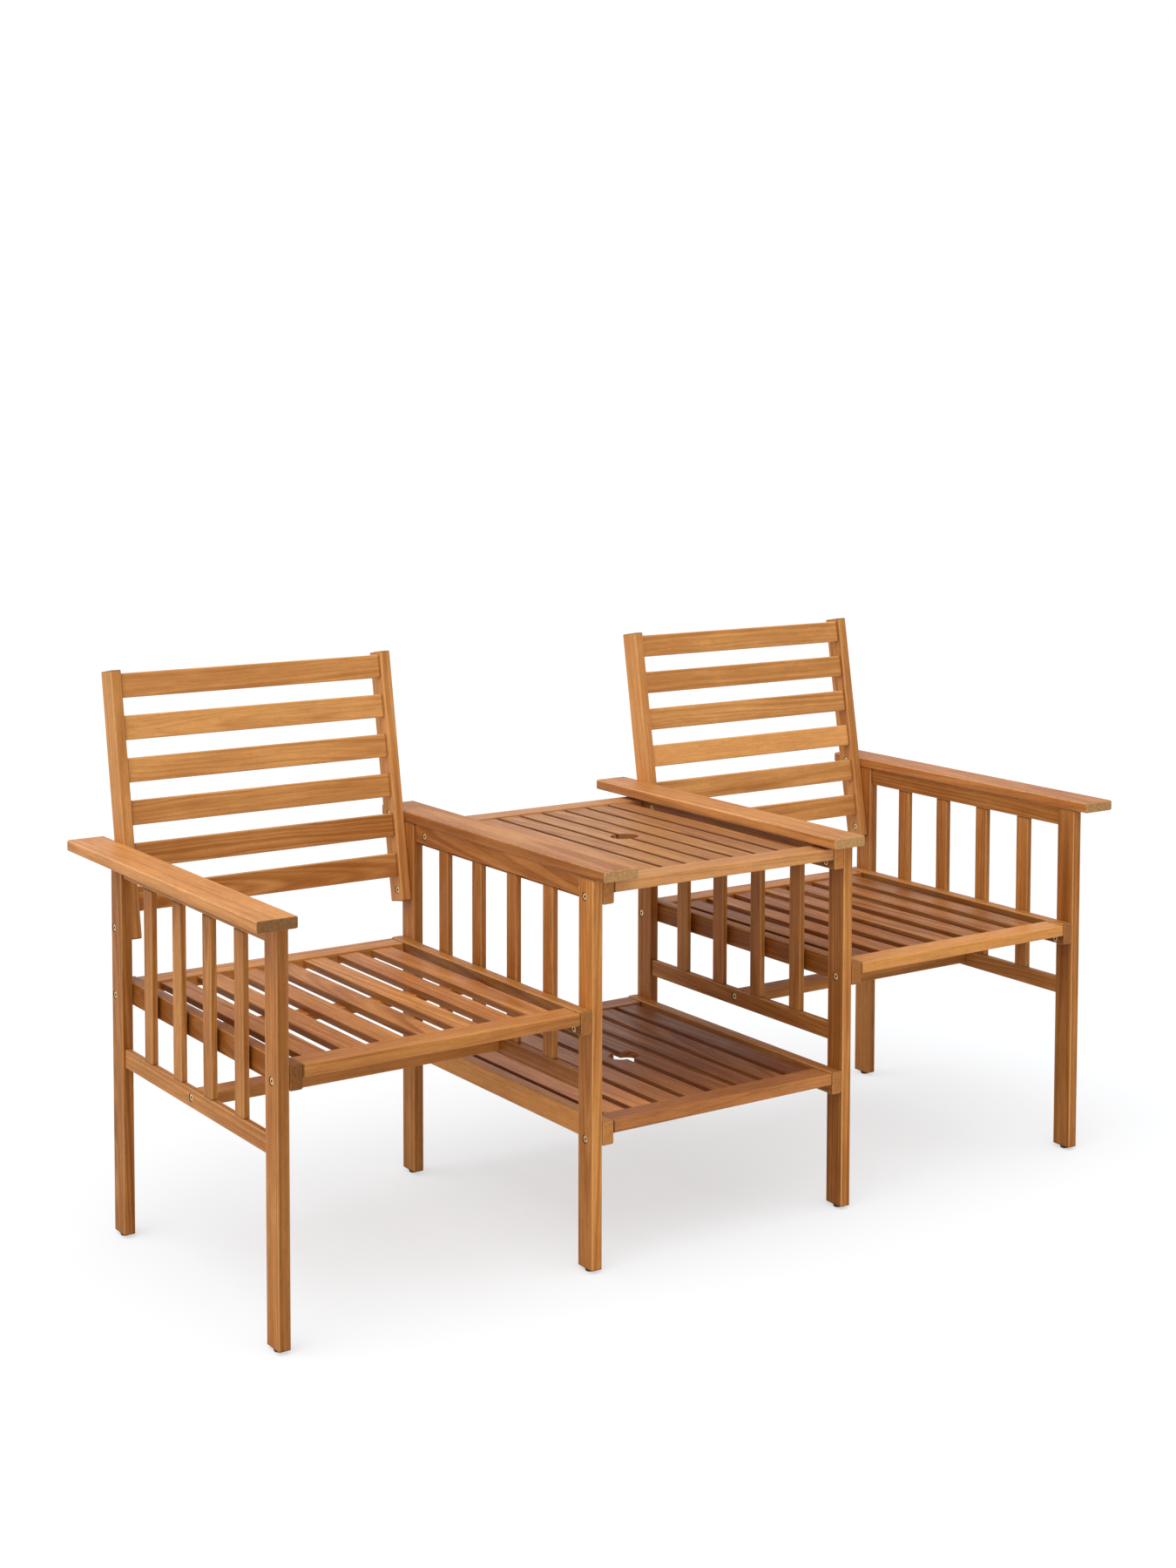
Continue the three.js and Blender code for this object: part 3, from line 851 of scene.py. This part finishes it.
deckSizes = {"railDepth": 42 * mm, "railThickness": 18 * mm, "tongue": 12 * mm, "slatWidth": 38 * mm,
             "slatThickness": 10.5 * mm, "poleSides": 64, "poleRadius": 20 * mm, "poleLead": 6.5 * mm,
             "battenWidth": 30 * mm, "battenThickness": 12 * mm}
bearerRosiness = 0.2
battenTone = -0.3


def makeBearers(name, deck):
    bearers = zip(("left", "right"), (1, -1), deck["bearerTones"], deck["endShades"])
    for hand, towards, tone, endShade in bearers:
        node = f"{deck['cad']}_{hand}_bearer"
        bearer = makeBoard("bearer", *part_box(node))
        x = faceAt(bearer, towards)
        for setback, height in deck["innerBolts"]:
            spot = (x, frontOfLegs + setback, height)
            sinkHead(bearer, boltSpots, boltSizes, name + "Bolts", spot, towards)
        # painted shade on the bearer's inner face next to the slats; on its outer face and end, painted shade
        # above 0 and painted light under 0
        inner, outer = ("high", "low") if towards > 0 else ("low", "high")
        shades = {inner: deck["innerShade"], outer: deck["outerShade"], "ends": endShade}
        cutFromLog(bearer, "y", "frameWood", tone, bearerRosiness, shades)
        finishPiece(name + hand.capitalize() + "Bearer", [bearer], node)


def makeDeckRails(deck, low, high):
    railBottom = high.z - deckSizes["railThickness"]
    rails = []
    # the front rail's face gets painted light where frontShade is under 0
    rows = zip((low.y, high.y - deckSizes["railDepth"]), deck["railTones"], (deck["frontShade"], 0.0))
    for start, tone, shade in rows:
        rail = makeBoard("deckRail", Vector((low.x, start, railBottom)),
                         Vector((high.x, start + deckSizes["railDepth"], high.z)))
        rails.append(cutFromLog(rail, "x", deck["wood"], tone, deck["rosiness"], {"sides": shade}))
    return rails


def notchForPole(slat, spot):
    height = 4 * deckSizes["slatThickness"]  # well past both faces
    cutAway(slat, addCylinder(deckSizes["poleSides"], deckSizes["poleRadius"], height, spot, "z"))


def makeDeckSlats(deck, low, high):
    count, width, thickness = len(deck["tones"]), deckSizes["slatWidth"], deckSizes["slatThickness"]
    inset = deckSizes["railDepth"] - deckSizes["tongue"]
    middle = (low + high) / 2
    # the seats' slats fill the clear width evenly, and the others stand close about the middle
    gap = deck.get("slatGap", (high.x - low.x - count * width) / (count + 1))
    slatTop = high.z - deck["slatDrop"]
    # painted shade on the slats' sides, which show in the gaps, and in the pole notch
    shades = {"sides": deck["gapShade"], "hollows": deck["gapShade"] / 2}
    # the two slats at the pole hole, and how far the middle of each one's notch is from the deck's
    holeSides = {count // 2 - 1: -gap / 2, count // 2: gap / 2} if deck["poleHole"] else {}
    slats = []
    for number, (tone, topShade) in enumerate(zip(deck["tones"], deck["topShades"])):
        x = middle.x + (number - (count - 1) / 2) * (width + gap)
        slat = makeBoard("deckSlat", Vector((x - width / 2, low.y + inset, slatTop - thickness)),
                         Vector((x + width / 2, high.y - inset, slatTop)))
        if number in holeSides:
            notchForPole(slat, (middle.x + holeSides[number], middle.y - deckSizes["poleLead"], slatTop))
        # painted shade on the slat's top, which is painted light where it is under 0
        slatShades = {**shades, "high": topShade}
        slats.append(cutFromLog(slat, "y", deck["wood"], tone, deck["rosiness"], slatShades))
    return slats


def makeBatten(deck, low, high):
    width = deckSizes["battenWidth"]
    start = (low.y + high.y - width) / 2
    batten = makeBoard("batten", Vector((low.x, start, low.z)),
                       Vector((high.x, start + width, low.z + deckSizes["battenThickness"])))
    return cutFromLog(batten, "x", deck["wood"], battenTone)


def makeDeckPanel(name, deck):
    node = deck["cad"] + "_panel"
    low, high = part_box(node)
    boards = makeDeckRails(deck, low, high) + makeDeckSlats(deck, low, high)
    if deck["batten"]:
        boards.append(makeBatten(deck, low, high))
    finishPiece(name + "Panel", boards, node)


for name, deck in decks.items():
    makeBearers(name, deck)
    makeDeckPanel(name, deck)
print("decks made:", len(decks))


# backs and stretchers

backs = {"tilt": 10, "slatHeight": 38 * mm, "slatThickness": 15 * mm, "slatRecess": 6 * mm,
         "slatPitch": 65.5 * mm, "firstSlatDrop": 5.5 * mm, "postLength": 412 * mm, "postDepth": 39 * mm,
         "footFront": 531.5 * mm, "footHeight": 461 * mm,
         "boltSpots": [(577 * mm, 599 * mm), (549 * mm, 477 * mm)]}
# slatShades and stretcherShade are painted shade on the faces of back slats and stretchers, which is painted
# light under 0
chairs = {
    "leftChair": {
        "cad": "left_chair", "postTones": (-0.25, -0.1), "slatTones": (0.1, 0.75, 0.35, -0.05, -0.8, -0.7),
        "slatShades": {}, "stretcherTone": 1.1, "stretcherShade": -0.3},
    "rightChair": {
        "cad": "right_chair", "postTones": (0.1, -0.3), "slatTones": (0.2, -0.05, 0.15, 1.0, 0.1, 0.0),
        "slatShades": {3: {"low": -0.15}}, "stretcherTone": 0.2, "stretcherShade": 0.0},
}


def backLean():
    # the turn about the lower front edge of the posts, to the back's own tilt
    pivot = Vector((0, frontOfLegs + backs["footFront"], backs["footHeight"]))
    turn = Matrix.Rotation(-math.radians(backs["tilt"]), 4, "X")
    return Matrix.Translation(pivot) @ turn @ Matrix.Translation(-pivot)


def makePosts(name, chair):
    front = frontOfLegs + backs["footFront"]
    foot = backs["footHeight"]
    for hand, towards, tone in zip(("left", "right"), (1, -1), chair["postTones"]):
        node = f"{chair['cad']}_{hand}_back_post"
        low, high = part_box(node)
        post = makeBoard("backPost", Vector((low.x, front, foot)),
                         Vector((high.x, front + backs["postDepth"], foot + backs["postLength"])))
        x = faceAt(post, towards)
        for setback, height in backs["boltSpots"]:
            spot = Vector((x, frontOfLegs + setback, height))
            drillPocket(post, backLean().inverted() @ spot, boltSizes)
            boltSpots.append({"group": name + "PostBolts", "spot": spot, "side": towards})
        cutFromLog(post, "z", "backWood", tone)
        post.data.transform(backLean())
        finishPiece(name + hand.capitalize() + "BackPost", [post], node)


def makeBackSlats(name, chair):
    slatFront = frontOfLegs + backs["footFront"] + backs["slatRecess"]
    firstTop = backs["footHeight"] + backs["postLength"] - backs["firstSlatDrop"]
    for number, tone in enumerate(chair["slatTones"]):
        node = f"{chair['cad']}_back_slat_{number + 1}"
        low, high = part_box(node)
        slatTop = firstTop - number * backs["slatPitch"]
        slat = makeBoard("backSlat", Vector((low.x, slatFront, slatTop - backs["slatHeight"])),
                         Vector((high.x, slatFront + backs["slatThickness"], slatTop)))
        cutFromLog(slat, "x", "backWood", tone, shades=chair["slatShades"].get(number))
        slat.data.transform(backLean())
        finishPiece(f"{name}BackSlat{number + 1}", [slat], node)


def makeStretcher(name, chair):
    node = chair["cad"] + "_stretcher"
    board = makeBoard("stretcher", *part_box(node))
    # painted light on the stretcher's broad faces where the shade is under 0
    shade = chair["stretcherShade"]
    cutFromLog(board, "x", "frameWood", chair["stretcherTone"], shades={"low": shade, "high": shade})
    finishPiece(name + "Stretcher", [board], node)


for name, chair in chairs.items():
    makePosts(name, chair)
    makeBackSlats(name, chair)
    makeStretcher(name, chair)
print("backs made:", len(chairs))

placeHeads(modelBolt(), boltSpots, boltSizes, finish="yellowZinc")
placeHeads(modelHead(plugSizes), plugSpots, plugSizes)
for model in boardModels.values():
    bpy.data.objects.remove(model)
print("bolts and plugs placed:", len(boltSpots), len(plugSpots))


# floor, light and camera

studio = {"floorSize": 40.0, "floorGrey": (0.62, 0.62, 0.62, 1), "seenGrey": (0.425, 0.44, 0.455, 1),
          "floorGlow": 0.585, "worldStrengths": (0.34, 1.15), "brightSide": (-0.8, -0.15, 0.58),
          "wallSpan": (0.2, 0.95), "roomStrengths": (0.25, 1.0), "roomSpan": (-0.1, 0.6)}
overheadLight = {"heading": -30, "height": 76, "softness": 70, "strength": 0.45}


def floorFinish():
    # a mid grey for the light, and for the eye a darker grey lifted to white, so that it keeps a soft shadow
    material, tree, surface = newMaterial("paleFloor")
    surface["Roughness"].default_value = 1.0
    surface["Specular IOR Level"].default_value = 0.0
    seen = tree.nodes.new("ShaderNodeLightPath").outputs["Is Camera Ray"]
    tint = blend(tree, "MIX", seen, studio["floorGrey"], studio["seenGrey"])
    tree.links.new(tint, surface["Base Color"])
    surface["Emission Color"].default_value = (1, 1, 1, 1)
    tree.links.new(times(tree, seen, studio["floorGlow"]), surface["Emission Strength"])
    return material


def makeFloor():
    bpy.ops.object.select_all(action="DESELECT")
    bpy.ops.mesh.primitive_plane_add(size=studio["floorSize"], location=(0, 0, 0))
    floor = bpy.context.active_object
    floor.name = "floor"
    floor.data.materials.append(floorFinish())


def softLight(name, look):
    # light from far off, so that the whole floor is lit alike; heading 0 comes from the front and 90 from
    # the right
    lamp = bpy.data.lights.new(name, "SUN")
    lamp.angle = math.radians(look["softness"])
    lamp.energy = look["strength"] * math.pi
    holder = bpy.data.objects.new(name, lamp)
    bpy.context.collection.objects.link(holder)
    holder.rotation_euler = (math.radians(90 - look["height"]), 0, math.radians(look["heading"]))


def makeWorld():
    # a wide pale wall on the left lights the room, reflections see a dim room in front of the white backdrop,
    # and the eye sees white all round
    world = bpy.data.worlds.new("studioWorld")
    bpy.context.scene.world = world
    world.use_nodes = True
    tree = world.node_tree
    background = tree.nodes["Background"].inputs
    ray = tree.nodes.new("ShaderNodeLightPath").outputs
    direction = tree.nodes.new("ShaderNodeTexCoord").outputs["Generated"]
    towardsWall = vectorMaths(tree, "DOT_PRODUCT", direction, studio["brightSide"])
    lit = spread(tree, towardsWall, studio["wallSpan"], studio["worldStrengths"])
    mirrored = spread(tree, parts(tree, direction)[1], studio["roomSpan"], studio["roomStrengths"])
    strength = spread(tree, ray["Is Glossy Ray"], (0.0, 1.0), (lit, mirrored), "LINEAR")
    strength = spread(tree, ray["Is Camera Ray"], (0.0, 1.0), (strength, 1.0), "LINEAR")
    tree.links.new(strength, background["Strength"])
    background["Color"].default_value = (1, 1, 1, 1)


photoCamera = {"place": (-2.1238, -3.0943, 1.3101), "heading": 35.2, "tilt": 3.74, "roll": 0.2,
               "lens": 53.68, "sensor": 36, "shiftX": -0.0361, "shiftY": -0.1583, "reach": 100}


def makeCamera(look):
    lens = bpy.data.cameras.new("photoCamera")
    lens.sensor_width = look["sensor"]
    lens.lens = look["lens"]
    lens.shift_x = look["shiftX"]
    lens.shift_y = look["shiftY"]
    lens.clip_end = look["reach"]
    camera = bpy.data.objects.new("photoCamera", lens)
    bpy.context.collection.objects.link(camera)
    turn = (Matrix.Rotation(-math.radians(look["heading"]), 4, "Z")
            @ Matrix.Rotation(math.radians(90 - look["tilt"]), 4, "X")
            @ Matrix.Rotation(math.radians(look["roll"]), 4, "Z"))
    camera.matrix_world = Matrix.Translation(look["place"]) @ turn
    bpy.context.scene.camera = camera


makeFloor()
softLight("overheadLight", overheadLight)
makeWorld()
makeCamera(photoCamera)
bpy.context.scene.view_settings.view_transform = "Standard"
print("stage, light and camera set")
